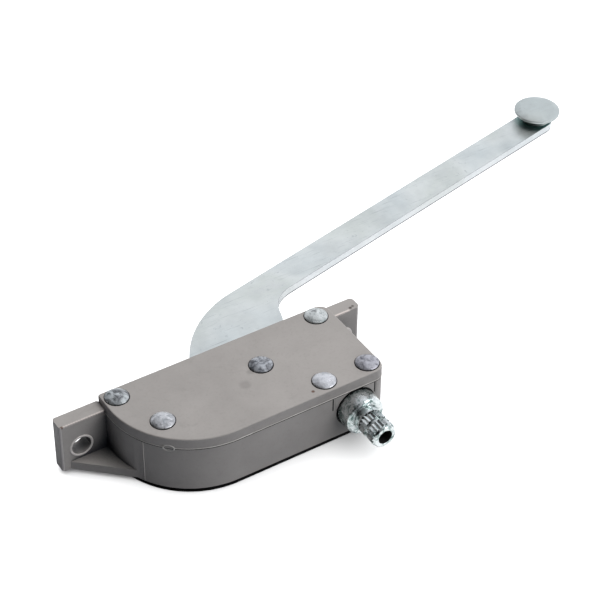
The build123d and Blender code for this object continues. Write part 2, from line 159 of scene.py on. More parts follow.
cameraView = {
    "lens": 119.65,
    "sensor": 36.0,
    "fromCover": (-298.5, -447.15, 452.8),     # mm from the cover's back right top corner
    "euler": (49.97, -0.54, -32.39),
}


def makeCamera():
    corner = Vector(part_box("cover_plate")[1])
    data = bpy.data.cameras.new("viewCamera")
    data.lens = cameraView["lens"]
    data.sensor_width = cameraView["sensor"]
    data.clip_start = 0.01
    data.clip_end = 20
    camera = bpy.data.objects.new("viewCamera", data)
    bpy.context.scene.collection.objects.link(camera)
    camera.location = corner + Vector(cameraView["fromCover"]) * mm
    camera.rotation_euler = [math.radians(a) for a in cameraView["euler"]]
    bpy.context.scene.camera = camera


makeCamera()
print("camera set")


# ---------- materials ----------

class MaterialMaker:  # a node tree with short ways to add patterns on Object coordinates
    def __init__(self, name):
        self.material = bpy.data.materials.new(name)
        self.material.use_nodes = True
        self.tree = self.material.node_tree
        self.shader = self.tree.nodes["Principled BSDF"]
        self.coordinates = self.tree.nodes.new("ShaderNodeTexCoord").outputs["Object"]

    def node(self, kind, **values):
        made = self.tree.nodes.new(kind)
        for key, value in values.items():
            if key in made.inputs:
                made.inputs[key].default_value = value
            else:
                setattr(made, key, value)
        return made

    def link(self, source, target):
        self.tree.links.new(source, target)

    def mapped(self, scale, turn):
        mapping = self.node("ShaderNodeMapping")
        mapping.inputs["Scale"].default_value = scale
        mapping.inputs["Rotation"].default_value = [math.radians(a) for a in turn]
        self.link(self.coordinates, mapping.inputs["Vector"])
        return mapping.outputs["Vector"]

    def noise(self, scale, detail=4, roughness=0.55, vector=None, distortion=0.0):
        made = self.node("ShaderNodeTexNoise", Scale=scale, Detail=detail, Roughness=roughness,
                         Distortion=distortion)
        self.link(vector or self.coordinates, made.inputs["Vector"])
        return made.outputs["Fac"]

    def cells(self, scale):
        made = self.node("ShaderNodeTexVoronoi", Scale=scale)
        self.link(self.coordinates, made.inputs["Vector"])
        return made.outputs["Distance"]

    def ramp(self, source, stops):
        made = self.node("ShaderNodeValToRGB")
        elements = made.color_ramp.elements
        while len(elements) < len(stops):
            elements.new(0.5)
        for element, (place, colour) in zip(elements, stops):
            element.position = place
            element.color = (*colour, 1) if len(colour) == 3 else colour
        self.link(source, made.inputs["Fac"])
        return made.outputs["Color"]

    def spread(self, source, low, high, fromLow=0.0, fromHigh=1.0):
        made = self.node("ShaderNodeMapRange")
        made.inputs["From Min"].default_value = fromLow
        made.inputs["From Max"].default_value = fromHigh
        made.inputs["To Min"].default_value = low
        made.inputs["To Max"].default_value = high
        self.link(source, made.inputs["Value"])
        return made.outputs["Result"]

    def mix(self, amount, first, second, blend="MIX"):
        made = self.tree.nodes.new("ShaderNodeMix")
        made.data_type = "RGBA"
        made.blend_type = blend
        for source, index in ((amount, 0), (first, 6), (second, 7)):
            if isinstance(source, (int, float)):
                made.inputs[index].default_value = source
            elif isinstance(source, tuple):
                made.inputs[index].default_value = (*source, 1)
            else:
                self.link(source, made.inputs[index])
        return made.outputs[2]

    def math(self, operation, first, second=0.0):
        made = self.node("ShaderNodeMath", operation=operation)
        for source, index in ((first, 0), (second, 1)):
            if isinstance(source, (int, float)):
                made.inputs[index].default_value = source
            else:
                self.link(source, made.inputs[index])
        return made.outputs[0]

    def cornerShade(self, reach, darkAt=0.15, lightAt=0.75, alone=False):  # painted shade mask from ambient occlusion: 0 in a tight corner, 1 in the open
        made = self.node("ShaderNodeAmbientOcclusion", Distance=reach)
        made.samples = 8
        made.only_local = alone
        return self.spread(made.outputs["AO"], 0, 1, darkAt, lightAt)

    def bump(self, height, strength, distance):
        made = self.node("ShaderNodeBump", Strength=strength, Distance=distance)
        self.link(height, made.inputs["Height"])
        self.link(made.outputs["Normal"], self.shader.inputs["Normal"])

    def spot(self, place, reach, soft=0.5):  # 1 at a place given in mm, fading out at reach
        made = self.node("ShaderNodeVectorMath", operation="DISTANCE")
        self.link(self.coordinates, made.inputs[0])
        made.inputs[1].default_value = [v * mm for v in place]
        wobble = self.math("MULTIPLY", self.math("SUBTRACT", self.noise(900, 3), 0.5), reach * mm * soft)
        distance = self.math("ADD", made.outputs["Value"], wobble)
        return self.spread(distance, 1, 0, reach * mm * (1 - soft), reach * mm)

    def colour(self, source):
        self.link(source, self.shader.inputs["Base Color"])

    def rough(self, source):
        self.link(source, self.shader.inputs["Roughness"])


casingFinish = {
    "coat": (0.262, 0.250, 0.240),
    "coatLight": (0.305, 0.291, 0.280),
    # shadeTone: colour of the painted shade in corners and creases
    "shadeTone": (0.012, 0.014, 0.019),
    "scuff": (0.16, 0.152, 0.146),
    "speckDark": (0.06, 0.05, 0.045),
    "brown": (0.075, 0.030, 0.016),
    "worn": (0.62, 0.56, 0.53),
    "roughness": (0.42, 0.55),
    "cornerShadeReach": 0.015,
    "wallShadeReach": 0.024,
}


def casingMaterial(name, tint=1.0, marks=()):
    m = MaterialMaker(name)
    m.shader.inputs["Specular IOR Level"].default_value = 0.36
    low = tuple(c * tint for c in casingFinish["coat"])
    high = tuple(c * tint for c in casingFinish["coatLight"])
    tone = m.mix(m.spread(m.noise(38, 5, 0.6), 0, 1, 0.35, 0.65), low, high)
    fleck = m.noise(950, 3, 0.6)
    tone = m.mix(m.spread(fleck, 0, 0.16, 0.52, 0.75), tone, casingFinish["scuff"])
    smudge = m.noise(120, 6, 0.7, distortion=0.6)
    tone = m.mix(m.ramp(smudge, [(0.58, (0, 0, 0)), (0.72, (0.25, 0.25, 0.25)), (0.9, (0.45, 0.45, 0.45))]),
                 tone, casingFinish["scuff"])
    specks = m.ramp(m.cells(330), [(0.0, (0.5, 0.5, 0.5)), (0.055, (0, 0, 0)), (1.0, (0, 0, 0))])
    rare = m.ramp(m.noise(60, 2), [(0.56, (0, 0, 0)), (0.62, (1, 1, 1))])
    tone = m.mix(m.math("MULTIPLY", specks, rare), tone, casingFinish["speckDark"])
    for place, reach, strength, stain in marks:
        tone = m.mix(m.math("MULTIPLY", m.spot(place, reach), strength), tone, stain)
    # painted shade: the coat darkens towards shadeTone in corners and creases, with one reach for flat faces
    # and one for upright walls
    flat = m.cornerShade(casingFinish["cornerShadeReach"], 0.24, 0.58, alone=True)
    upright = m.cornerShade(casingFinish["wallShadeReach"], 0.42, 0.86, alone=True)
    facing = m.node("ShaderNodeSeparateXYZ")
    m.link(m.node("ShaderNodeNewGeometry").outputs["Normal"], facing.inputs[0])
    level = m.spread(m.math("ABSOLUTE", facing.outputs["Z"], 0), 0, 1, 0.2, 0.7)
    clear = m.math("ADD", m.math("MULTIPLY", flat, level),
                   m.math("MULTIPLY", upright, m.math("SUBTRACT", 1, level)))
    tone = m.mix(clear, casingFinish["shadeTone"], tone)
    m.colour(tone)
    m.rough(m.spread(m.noise(210, 4), *casingFinish["roughness"], 0.3, 0.7))
    grain = m.math("ADD", m.math("MULTIPLY", m.noise(2600, 3), 0.5), m.math("MULTIPLY", m.noise(420, 3), 0.8))
    m.bump(grain, 0.22, 0.00006)
    return m.material


def coverMarks():  # small scuffs and one brown speck, placed from the cover's own box
    low, high = (Vector(corner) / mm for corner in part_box("cover_plate"))
    return [
        ((low.x + 44.5, low.y + 17.6, high.z), 2.6, 0.38, casingFinish["scuff"]),
        ((low.x + 49.3, low.y + 22.3, high.z), 1.6, 0.45, casingFinish["scuff"]),
        ((low.x + 62.1, low.y + 2.75, high.z), 0.75, 0.85, casingFinish["brown"]),
    ]


def baseMarks():  # rusty touch on the left ear's outer corner, worn edge and a nick on the right ear
    low, high = (Vector(corner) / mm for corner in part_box("base_housing"))
    marks = [((low.x + 0.8, -5.7, high.z), 0.9, 0.85, casingFinish["brown"]),
             ((high.x - 3.4, -4.6, high.z), 0.8, 0.95, casingFinish["speckDark"]),
             ((high.x - 2.2, -4.2, high.z), 0.7, 0.80, casingFinish["speckDark"])]
    for step in range(8):
        marks.append(((high.x - 11.0 + step * 0.9, -5.55, high.z), 0.75, 0.75, casingFinish["worn"]))
    for step in range(16):
        marks.append(((low.x + 1.8 + step * 0.95, -5.6, high.z - 0.1), 0.62, 0.55, casingFinish["worn"]))
    return marks


# near-black, for painted shade in bores, joints and along the bottom edge, and on the contact shadow sheet
def darkGapMaterial():
    m = MaterialMaker("shadedGap")
    tone = m.ramp(m.noise(400, 3), [(0.3, (0.004, 0.004, 0.004)), (0.7, (0.011, 0.011, 0.011))])
    m.colour(tone)
    m.rough(m.spread(m.noise(300, 3), 0.7, 0.9))
    return m.material


def flashMaterial():
    m = MaterialMaker("partingFlash")
    tone = m.ramp(m.noise(260, 3), [(0.35, (0.36, 0.35, 0.33)), (0.7, (0.52, 0.51, 0.49))])
    m.colour(tone)
    m.rough(m.spread(m.noise(500, 3), 0.35, 0.5))
    return m.material


zincFinish = {
    "base": (0.76, 0.80, 0.79),
    "blue": (0.53, 0.62, 0.66),
    "green": (0.58, 0.63, 0.57),
    "rose": (0.60, 0.60, 0.63),
    # edgeShade: painted shade along the lower corner of the sheared edge
    "edgeShade": (0.12, 0.13, 0.14),
    "edgeShadeSoft": 0.15 * mm,
}


def platedMaterial(name, base, along=0.0, rough=(0.26, 0.44), irid=1.0, scratch=1.0, dark=(0.36, 0.40, 0.41),
                   reach=0.004, shadeTone=(0.03, 0.075, 0.07), darkBelow=None):
    # clear zinc plate; along is the way of the rolling marks in degrees
    m = MaterialMaker(name)
    m.shader.inputs["Metallic"].default_value = 0.75
    wide = m.noise(26, 3, 0.5, distortion=0.4)
    tint = m.ramp(wide, [(0.34, zincFinish["blue"]), (0.47, base),
                         (0.56, zincFinish["green"]), (0.66, zincFinish["rose"])])
    tone = m.mix(0.55 * irid, base, tint)
    cloud = m.ramp(m.noise(85, 6, 0.62), [(0.38, (0, 0, 0)), (0.75, (0.40, 0.40, 0.40))])
    tone = m.mix(cloud, tone, dark)
    streak = m.noise(90, 4, 0.6, vector=m.mapped(scale=(1, 26, 8), turn=(0, 0, -along)))
    streakAmount = m.ramp(streak, [(0.60, (0, 0, 0)), (0.74, (0.55 * scratch,) * 3)])
    tone = m.mix(streakAmount, tone, dark)
    flecks = m.ramp(m.noise(520, 3, 0.6, distortion=0.5), [(0.63, (0, 0, 0)), (0.72, (0.45 * scratch,) * 3)])
    tone = m.mix(m.math("MULTIPLY", flecks, m.spread(m.noise(48, 2), 0, 1, 0.42, 0.60)), tone, dark)
    # painted shade: the plate darkens towards shadeTone near other surfaces, as under the button
    tone = m.mix(m.cornerShade(reach, 0.30, 0.80), shadeTone, tone)
    if darkBelow is not None:              # painted shade along the lower corner of a sheared edge
        split = m.node("ShaderNodeSeparateXYZ")
        m.link(m.coordinates, split.inputs[0])
        edgeShade = m.spread(split.outputs["Z"], 1, 0, darkBelow, darkBelow + zincFinish["edgeShadeSoft"])
        tone = m.mix(edgeShade, tone, zincFinish["edgeShade"])
    m.colour(tone)
    fine = m.noise(700, 3, 0.6, vector=m.mapped(scale=(1, 9, 5), turn=(0, 0, -along)))
    sheen = m.math("ADD", m.math("MULTIPLY", fine, 0.6), m.math("MULTIPLY", m.noise(70, 4), 0.4))
    m.rough(m.spread(sheen, *rough, 0.3, 0.7))
    m.bump(m.math("ADD", fine, m.math("MULTIPLY", m.noise(150, 4), 1.2)), 0.16, 0.00005)
    return m.material


def rivetMaterial(name, base, dark, smudge):
    m = MaterialMaker(name)
    m.shader.inputs["Metallic"].default_value = 0.92
    mottle = m.noise(420, 5, 0.65, distortion=0.8)
    tone = m.ramp(mottle, [(0.36, dark), (0.50, base), (0.66, tuple(min(1, c * 1.22) for c in base))])
    patch = m.ramp(m.noise(190, 4, 0.6, distortion=1.2), [(0.50, (0, 0, 0)), (0.64, (smudge,) * 3)])
    tone = m.mix(patch, tone, (0.10, 0.10, 0.11))
    m.colour(tone)
    m.rough(m.spread(m.noise(500, 4), 0.24, 0.46, 0.3, 0.7))
    m.bump(m.math("ADD", m.math("MULTIPLY", m.noise(1500, 4), 0.6), m.noise(620, 3)), 0.6, 0.00016)
    return m.material


def plainMetal(name, base, rough):
    m = MaterialMaker(name)
    m.shader.inputs["Metallic"].default_value = 1.0
    dim = tuple(c * 0.7 for c in base)
    m.colour(m.ramp(m.noise(240, 5, 0.6), [(0.35, dim), (0.6, base)]))
    m.rough(m.spread(m.noise(600, 3), rough - 0.08, rough + 0.1, 0.3, 0.7))
    m.bump(m.noise(1100, 3), 0.15, 0.00003)
    return m.material


def crankMaterial():  # bright plate with dark flecks and runs in it
    m = MaterialMaker("crankPlate")
    m.shader.inputs["Metallic"].default_value = 1.0
    blotch = m.noise(340, 6, 0.72, distortion=1.4)
    tone = m.ramp(blotch, [(0.34, (0.03, 0.055, 0.05)), (0.43, (0.34, 0.42, 0.41)),
                           (0.52, (0.84, 0.88, 0.88))])
    wide = m.noise(90, 3, 0.5)
    tone = m.mix(m.spread(wide, 0, 0.45, 0.5, 0.7), tone, (0.26, 0.33, 0.325))
    # painted shade: darker in the shaft's grooves and corners
    tone = m.mix(m.cornerShade(0.005, 0.25, 0.75), (0.008, 0.02, 0.02), tone)
    m.colour(tone)
    m.rough(m.spread(m.noise(420, 3), 0.14, 0.36, 0.3, 0.7))
    m.bump(m.math("ADD", m.noise(900, 4), m.math("MULTIPLY", m.noise(260, 2), 0.8)), 0.55, 0.00022)
    return m.material


def mouldedMaterial(name, base, rough):
    m = MaterialMaker(name)
    dim = tuple(c * 0.82 for c in base)
    m.colour(m.ramp(m.noise(130, 4), [(0.35, dim), (0.65, base)]))
    m.rough(m.spread(m.noise(500, 3), rough - 0.06, rough + 0.08, 0.3, 0.7))
    m.bump(m.noise(1500, 3), 0.15, 0.00004)
    return m.material


finish = {
    "casing": casingMaterial("taupeCoat", 1.0, baseMarks()),
    "cover": casingMaterial("taupeCover", 1.0, coverMarks()),
    # a lighter copy of the coat for edges and lips: painted highlight together with rubbed wear
    "rim": casingMaterial("rubbedRim", 1.9),
    "gap": darkGapMaterial(),
    "flash": flashMaterial(),
    "arm": platedMaterial("bluePlate", zincFinish["base"], along=12.5, irid=0.55, scratch=1.3,
                          shadeTone=(0.10, 0.26, 0.24)),
    # sheared edge: a lighter plate, its own finish brightened as painted reflection of the floor
    "armEdge": platedMaterial("shearedEdge", (0.84, 0.86, 0.87), along=12.5, rough=(0.3, 0.5), irid=0.5,
                              scratch=0.6, dark=(0.6, 0.63, 0.64),
                              darkBelow=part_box("operator_arm")[0][2] + 0.42 * mm),
    "button": platedMaterial("buttonPlate", (0.60, 0.64, 0.62), rough=(0.3, 0.5), irid=0.6,
                             dark=(0.34, 0.36, 0.36)),
    "shaft": crankMaterial(),
    # darker metal for the arm's bevelled corners: painted shade
    "armCorner": plainMetal("rolledCorner", (0.22, 0.235, 0.25), 0.45),
    # near-black metal round the foot of each rivet head: painted shadow
    "seatShade": plainMetal("darkOxide", (0.035, 0.036, 0.04), 0.5),
    "bronze": plainMetal("sinteredBronze", (0.50, 0.32, 0.16), 0.45),
    "steel": plainMetal("washerSteel", (0.52, 0.53, 0.54), 0.35),
    "gear": plainMetal("gearSteel", (0.60, 0.63, 0.64), 0.38),
    "acetal": mouldedMaterial("naturalAcetal", (0.72, 0.70, 0.62), 0.4),
    "rubber": mouldedMaterial("sealRubber", (0.018, 0.018, 0.018), 0.7),
}
# base tone, dark tone and strength of the smudges; cover rivets from left to right, then the pivot
rivetLooks = [
    ((0.56, 0.59, 0.60), (0.12, 0.14, 0.14), 0.85),
    ((0.72, 0.73, 0.75), (0.46, 0.48, 0.50), 0.35),
    ((0.76, 0.77, 0.80), (0.58, 0.60, 0.63), 0.20),
    ((0.70, 0.73, 0.72), (0.30, 0.34, 0.34), 0.60),
    ((0.52, 0.52, 0.56), (0.18, 0.18, 0.21), 0.80),
    ((0.52, 0.54, 0.57), (0.15, 0.16, 0.18), 0.80),
]
print("materials made")


def coat(piece, *materials):
    piece.data.materials.clear()
    for material in materials:
        piece.data.materials.append(material)
    return piece


# ---------- casing ----------

casingDetail = {
    "breakWidth": 0.30 * mm,
    "coverBreak": 0.12 * mm,
    "cornerRadii": {"sweep": 31.3 * mm, "rear": 1.0 * mm, "right": 4.0 * mm},
    "flashRadius": 0.16 * mm,
    # shade line: a near-black bead under the flash, painted shade of the parting groove
    "shadeLineRadius": 0.17 * mm,
    "shadeLineDrop": 0.27 * mm,
    "mouldLineTurn": 209.7,      # round the big corner, in degrees from +X
    "gateTurn": 226.4,
    "gateSize": (1.9 * mm, 0.75 * mm, 0.32 * mm),
    "holePlace": 52 * mm,        # each ear hole, to the left and right of the middle
    "holeBead": (4.0 * mm, 0.42 * mm),
    "boreShade": 3.56 * mm,      # faces nearer than this to an ear hole's axis are in its bore
    "earFront": -5.7 * mm,
    "lipFront": -5.68 * mm,
    "footShadeHeight": 0.32 * mm,    # painted shade along the bottom edge
    "tongueShadeStrips": ((-9.2 * mm, 5.6 * mm), (7.7 * mm, 5.0 * mm)),   # from the shaft's axis, height
    "shadeStripWidth": 0.5 * mm,
}
casingLow, casingHigh = (Vector(corner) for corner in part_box("cover_plate"))
baseLow, baseHigh = (Vector(corner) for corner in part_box("base_housing"))
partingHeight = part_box("front_bearing")[1][2]
shaftPlace = centreOf("shaft_seal")
sweepCentre = Vector((casingLow.x, casingLow.y, 0)) + Vector((1, 1, 0)) * casingDetail["cornerRadii"]["sweep"]


def selectWhere(piece, test):
    pick(piece)
    bpy.ops.object.mode_set(mode="EDIT")
    bpy.ops.mesh.select_mode(type="VERT")
    bpy.ops.mesh.select_all(action="DESELECT")
    bpy.ops.object.mode_set(mode="OBJECT")
    for vertex in piece.data.vertices:
        vertex.select = test(vertex)
    bpy.ops.object.mode_set(mode="EDIT")


def planSheet(name, height, grow=0.0):  # a flat sheet with the casing's plan
    deselectAll()
    middle = (casingLow + casingHigh) / 2
    bpy.ops.mesh.primitive_plane_add(size=1, location=(middle.x, middle.y, height))
    piece = bpy.context.object
    piece.scale = (casingHigh.x - casingLow.x + 2 * grow, casingHigh.y - casingLow.y + 2 * grow, 1)
    settle(piece, name)
    radii = casingDetail["cornerRadii"]
    corners = (
        (casingLow.x, casingLow.y, radii["sweep"]), (casingLow.x, casingHigh.y, radii["rear"]),
        (casingHigh.x, casingLow.y, radii["right"]), (casingHigh.x, casingHigh.y, radii["right"]),
    )
    near = 2 * abs(grow) + 0.1 * mm
    for x, y, radius in corners:
        selectWhere(piece, lambda v: abs(v.co.x - x) < near and abs(v.co.y - y) < near)
        bpy.ops.mesh.bevel(offset=max(radius + grow, 0.1 * mm), segments=28, affect="VERTICES")
        bpy.ops.object.mode_set(mode="OBJECT")
    return piece


def outlineBead(name, height, radius, grow=0.0):  # a bead that follows the casing's plan
    piece = planSheet(name, height, grow)
    pick(piece)
    bpy.ops.object.mode_set(mode="EDIT")
    bpy.ops.mesh.select_all(action="SELECT")
    bpy.ops.mesh.delete(type="ONLY_FACE")
    bpy.ops.object.mode_set(mode="OBJECT")
    bpy.ops.object.convert(target="CURVE")
    piece.data.bevel_depth = radius
    piece.data.bevel_resolution = 2
    bpy.ops.object.convert(target="MESH")
    piece = bpy.context.object
    bpy.ops.object.shade_smooth()
    return piece


def rideCasing(piece, *materials, slot="casing_paint"):
    coat(piece, *materials)
    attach(piece, "casing")


def makeBase():
    base = roundedCopy("base_housing", "baseShell", casingDetail["breakWidth"])
    coat(base, finish["casing"], finish["gap"], finish["rim"])
    earFront, earTop = casingDetail["earFront"], baseHigh.z
    for face in base.data.polygons:
        centre, way = face.center, face.normal
        beside = min(abs(centre.x - side * casingDetail["holePlace"]) for side in (-1, 1))
        nearBore = math.hypot(beside, centre.z) < casingDetail["boreShade"]
        inBore = nearBore and abs(way.y) < 0.2 and centre.y > earFront + 0.1 * mm
        if inBore and way.z < 0.35:            # upper wall of the bore, always in shadow
            face.material_index = 1
        onEar = centre.x < casingLow.x - 0.3 * mm or centre.x > casingHigh.x + 0.3 * mm
        topEdge = way.y < -0.25 and way.z > 0.25 and centre.z > earTop - 0.5 * mm
        endEdge = abs(way.x) > 0.3 and way.y < -0.3 and abs(centre.x) > baseHigh.x - 1.1 * mm
        # ear edges in the lighter rim coat: painted highlight together with wear
        if onEar and (topEdge or endEdge and centre.x < 0):
            face.material_index = 2
        # painted shade: the lowest bevel of the base in near-black
        if centre.z < baseLow.z + casingDetail["footShadeHeight"] and -0.95 < way.z < -0.15:
            face.material_index = 1
    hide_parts("base_housing")
    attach(base, "casing")


def makeCover():
    cover = roundedCopy("cover_plate", "coverShell", casingDetail["coverBreak"])
    coat(cover, finish["cover"])
    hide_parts("cover_plate")
    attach(cover, "casing")


def makePartingLine():
    flash = outlineBead("partingFlash", partingHeight + 0.04 * mm, casingDetail["flashRadius"])
    rideCasing(flash, finish["flash"])
    # painted shade: a near-black bead just under the flash
    shadeLineHeight = partingHeight - casingDetail["shadeLineDrop"]
    shadeStrip = outlineBead("partingSeam", shadeLineHeight, casingDetail["shadeLineRadius"], -0.06 * mm)
    rideCasing(shadeStrip, finish["gap"])


def makeMouldLine():
    turn = math.radians(casingDetail["mouldLineTurn"])
    radius = casingDetail["cornerRadii"]["sweep"]
    place = sweepCentre + Vector((math.cos(turn), math.sin(turn), 0)) * radius
    height = partingHeight - baseLow.z - 0.6 * mm
    deselectAll()
    bpy.ops.mesh.primitive_cylinder_add(vertices=10, radius=0.15 * mm, depth=height,
                                        location=(place.x, place.y, baseLow.z + height / 2))
    line = settle(bpy.context.object, "mouldLine")
    applyModifier(line, "BEVEL", width=0.05 * mm, segments=1, limit_method="ANGLE")
    bpy.ops.object.shade_smooth_by_angle(angle=math.radians(50))
    # in the lighter rim coat: painted highlight along the raised line
    rideCasing(line, finish["rim"])


def makeGateMark():  # small oval ring left by the gate, on the parting line
    turn = math.radians(casingDetail["gateTurn"])
    radius = casingDetail["cornerRadii"]["sweep"]
    place = sweepCentre + Vector((math.cos(turn), math.sin(turn), 0)) * radius
    wide, high, thick = casingDetail["gateSize"]
    deselectAll()
    bpy.ops.mesh.primitive_torus_add(major_radius=wide, minor_radius=thick,
                                     major_segments=40, minor_segments=8,
                                     location=(place.x, place.y, partingHeight - 0.1 * mm),
                                     rotation=(math.pi / 2, 0, turn + math.pi / 2))
    ring = bpy.context.object
    ring.scale = (1, high / wide * 1.6, 0.7)
    settle(ring, "gateMark")
    bpy.ops.object.shade_smooth()
    rideCasing(ring, finish["flash"])


def makeHoleBeads():  # raised lip round each ear hole
    wide, thick = casingDetail["holeBead"]
    for side, name in ((-1, "leftHoleLip"), (1, "rightHoleLip")):
        deselectAll()
        place = (side * casingDetail["holePlace"], casingDetail["lipFront"], 0)
        bpy.ops.mesh.primitive_torus_add(major_radius=wide, minor_radius=thick,
                                         major_segments=56, minor_segments=12,
                                         location=place, rotation=(math.pi / 2, 0, 0))
        lip = bpy.context.object
        lip.scale = (1, 1, 0.55)
        settle(lip, name)
        bpy.ops.object.shade_smooth()
        # in the lighter rim coat: painted highlight round the lip
        rideCasing(lip, finish["rim"])


def makeTongueShadeStrips():  # near-black strips in the joints beside the cover's tongue: painted shade of the joints
    for (away, height), name in zip(casingDetail["tongueShadeStrips"], ("leftTongueSeam", "rightTongueSeam")):
        deselectAll()
        bpy.ops.mesh.primitive_cube_add(size=1, location=(shaftPlace.x + away, casingLow.y + 0.2 * mm,
                                                          partingHeight - height / 2))
        shadeStrip = bpy.context.object
        shadeStrip.scale = (casingDetail["shadeStripWidth"], 0.5 * mm, height)
        settle(shadeStrip, name)
        applyModifier(shadeStrip, "BEVEL", width=0.06 * mm, segments=2, limit_method="ANGLE")
        rideCasing(shadeStrip, finish["gap"], slot="seal_rubber")


makeBase()
makeCover()
makePartingLine()
makeMouldLine()
makeGateMark()
makeHoleBeads()
makeTongueShadeStrips()
print("casing made")


# ---------- rivets ----------

rivetShape = {
    "head": 4.14 * mm,
    "rise": 1.5 * mm,
    "rim": 0.42 * mm,          # upright edge of the head
    "foot": 0.26 * mm,         # thin flange round the head, in near-black as painted shadow
    "tail": 3.6 * mm,
    "tailRise": 2.0 * mm,
    "dent": 0.10 * mm,
    "dentSize": 1.3 * mm,
    "domeSteps": 18,
    "domePower": 2.3,          # above 2, so the dome is a little flat in the middle
}
hammerMarks = bpy.data.textures.new("hammerMarks", "CLOUDS")
hammerMarks.noise_scale = rivetShape["dentSize"]
hammerMarks.noise_depth = 2


def islandCentres(node):  # middle of each separate solid in a CAD node
    source = bmesh.new()
    source.from_mesh(nodes[node].data)
    bmesh.ops.remove_doubles(source, verts=source.verts, dist=0.002 * mm)
    seen, centres = set(), []
    for start in source.verts:
        if start in seen:
            continue
        stack, island = [start], []
        seen.add(start)
        while stack:
            vertex = stack.pop()
            island.append(vertex.co.copy())
            for edge in vertex.link_edges:
                other = edge.other_vert(vertex)
                if other not in seen:
                    seen.add(other)
                    stack.append(other)
        low = Vector([min(c[i] for c in island) for i in range(3)])
        high = Vector([max(c[i] for c in island) for i in range(3)])
        centres.append((low + high) / 2)
    source.free()
    return centres


def makeRivet(place, name, look):
    head, rise, rim, foot = (rivetShape[part] for part in ("head", "rise", "rim", "foot"))
    coverTop = casingHigh.z
    underside = baseLow.z
    tailLow = underside - rivetShape["tailRise"]
    profile = [(0, coverTop + rise)]
    steps, power = rivetShape["domeSteps"], rivetShape["domePower"]
    for step in range(1, steps + 1):
        share = step / steps
        profile.append((head * 0.975 * share, coverTop + rim + (rise - rim) * (1 - share ** power)))
    profile += [(head * 0.995, coverTop + rim * 0.8), (head, coverTop + rim * 0.55),
                (head * 0.99, coverTop + rim * 0.25),
                (head + foot, coverTop + 0.05 * mm), (head + foot, coverTop - 0.03 * mm),
                (head * 0.5, coverTop - 0.1 * mm), (head * 0.5, underside),
                (rivetShape["tail"], underside), (rivetShape["tail"], tailLow + 0.6 * mm),
                (rivetShape["tail"] - 0.6 * mm, tailLow), (0, tailLow)]
    piece = turned(profile, (place.x, place.y, 0), name)
    applyModifier(piece, "DISPLACE", texture=hammerMarks, texture_coords="LOCAL", strength=rivetShape["dent"],
                  mid_level=0.5)
    coat(piece, rivetMaterial(name + "Zinc", *look), finish["seatShade"])
    # painted shadow: the head's lower rim and the flange round it take the near-black seatShade metal
    for face in piece.data.polygons:
        low = face.center.z < coverTop + rim * 0.5
        if low and face.center.z > coverTop - 0.2 * mm:
            face.material_index = 1
    return piece


def makeRivets():
    places = sorted(islandCentres("cover_rivets"), key=lambda p: (p.x, p.y))
    for index, place in enumerate(places):
        piece = makeRivet(place, "coverRivet%d" % (index + 1), rivetLooks[index])
        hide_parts("cover_rivets")
        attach(piece, "casing")
    pivot = makeRivet(centreOf("pivot_rivet"), "pivotRivet", rivetLooks[5])
    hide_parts("pivot_rivet")
    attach(pivot, "casing")


makeRivets()
print("rivets made")


# ---------- arm, button and shaft ----------

armDetail = {
    "breakWidth": 0.30 * mm,
    "edgeTilt": 0.25,       # faces whose normal rises less than this are the sheared edge
    "cornerTilt": 0.93,     # and less than this, its bevelled corner, painted darker as shade
}


def makeArm():
    arm = roundedCopy("operator_arm", "gooseneckArm", armDetail["breakWidth"])
    coat(arm, finish["arm"], finish["armEdge"], finish["armCorner"])
    # the sheared edge gets the lighter plate with painted reflection, the bevelled corners the darker metal
    # as painted shade
    for face in arm.data.polygons:
        if abs(face.normal.z) < armDetail["edgeTilt"]:
            face.material_index = 1
        elif abs(face.normal.z) < armDetail["cornerTilt"]:
            face.material_index = 2
    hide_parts("operator_arm")
    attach(arm, "arm")


shaftDetail = {
    "breakWidth": 0.10 * mm,
    "endHole": 2.74 * mm,   # faces nearer than this to the axis are in the end hole
}


def makeShaft():
    shaft = roundedCopy("worm_shaft", "crankShaft", shaftDetail["breakWidth"], angle=35, segments=1)
    coat(shaft, finish["shaft"], finish["gap"])
    for face in shaft.data.polygons:
        away = math.hypot(face.center.x - shaftPlace.x, face.center.z - shaftPlace.z)
        # painted shade inside the end hole
        if away < shaftDetail["endHole"] and abs(face.normal.y) < 0.5:
            face.material_index = 1
    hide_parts("worm_shaft")
    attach(shaft, "worm")


buttonDetail = {
    "breakWidth": 0.25 * mm,
}


def makeButton():
    button = roundedCopy("track_button", "trackButton", buttonDetail["breakWidth"])
    coat(button, finish["button"])
    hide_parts("track_button")
    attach(button, "arm")


makeArm()
makeShaft()
makeButton()
print("arm, shaft and button made")

carried = {
    "pivot_sleeve": "bronze", "lower_pivot_washer": "steel", "upper_pivot_washer": "steel",
    "lower_gear_plate": "gear", "upper_gear_plate": "gear", "gear_rivets": "steel", "button_washer": "steel",
    "front_bearing": "acetal", "rear_bearing": "acetal", "front_thrust_washer": "steel",
    "rear_thrust_washer": "steel", "shaft_seal": "rubber",
}
for node, look in carried.items():
    coat(nodes[node], finish[look])
print("inner pieces finished")


# ---------- floor and light ----------

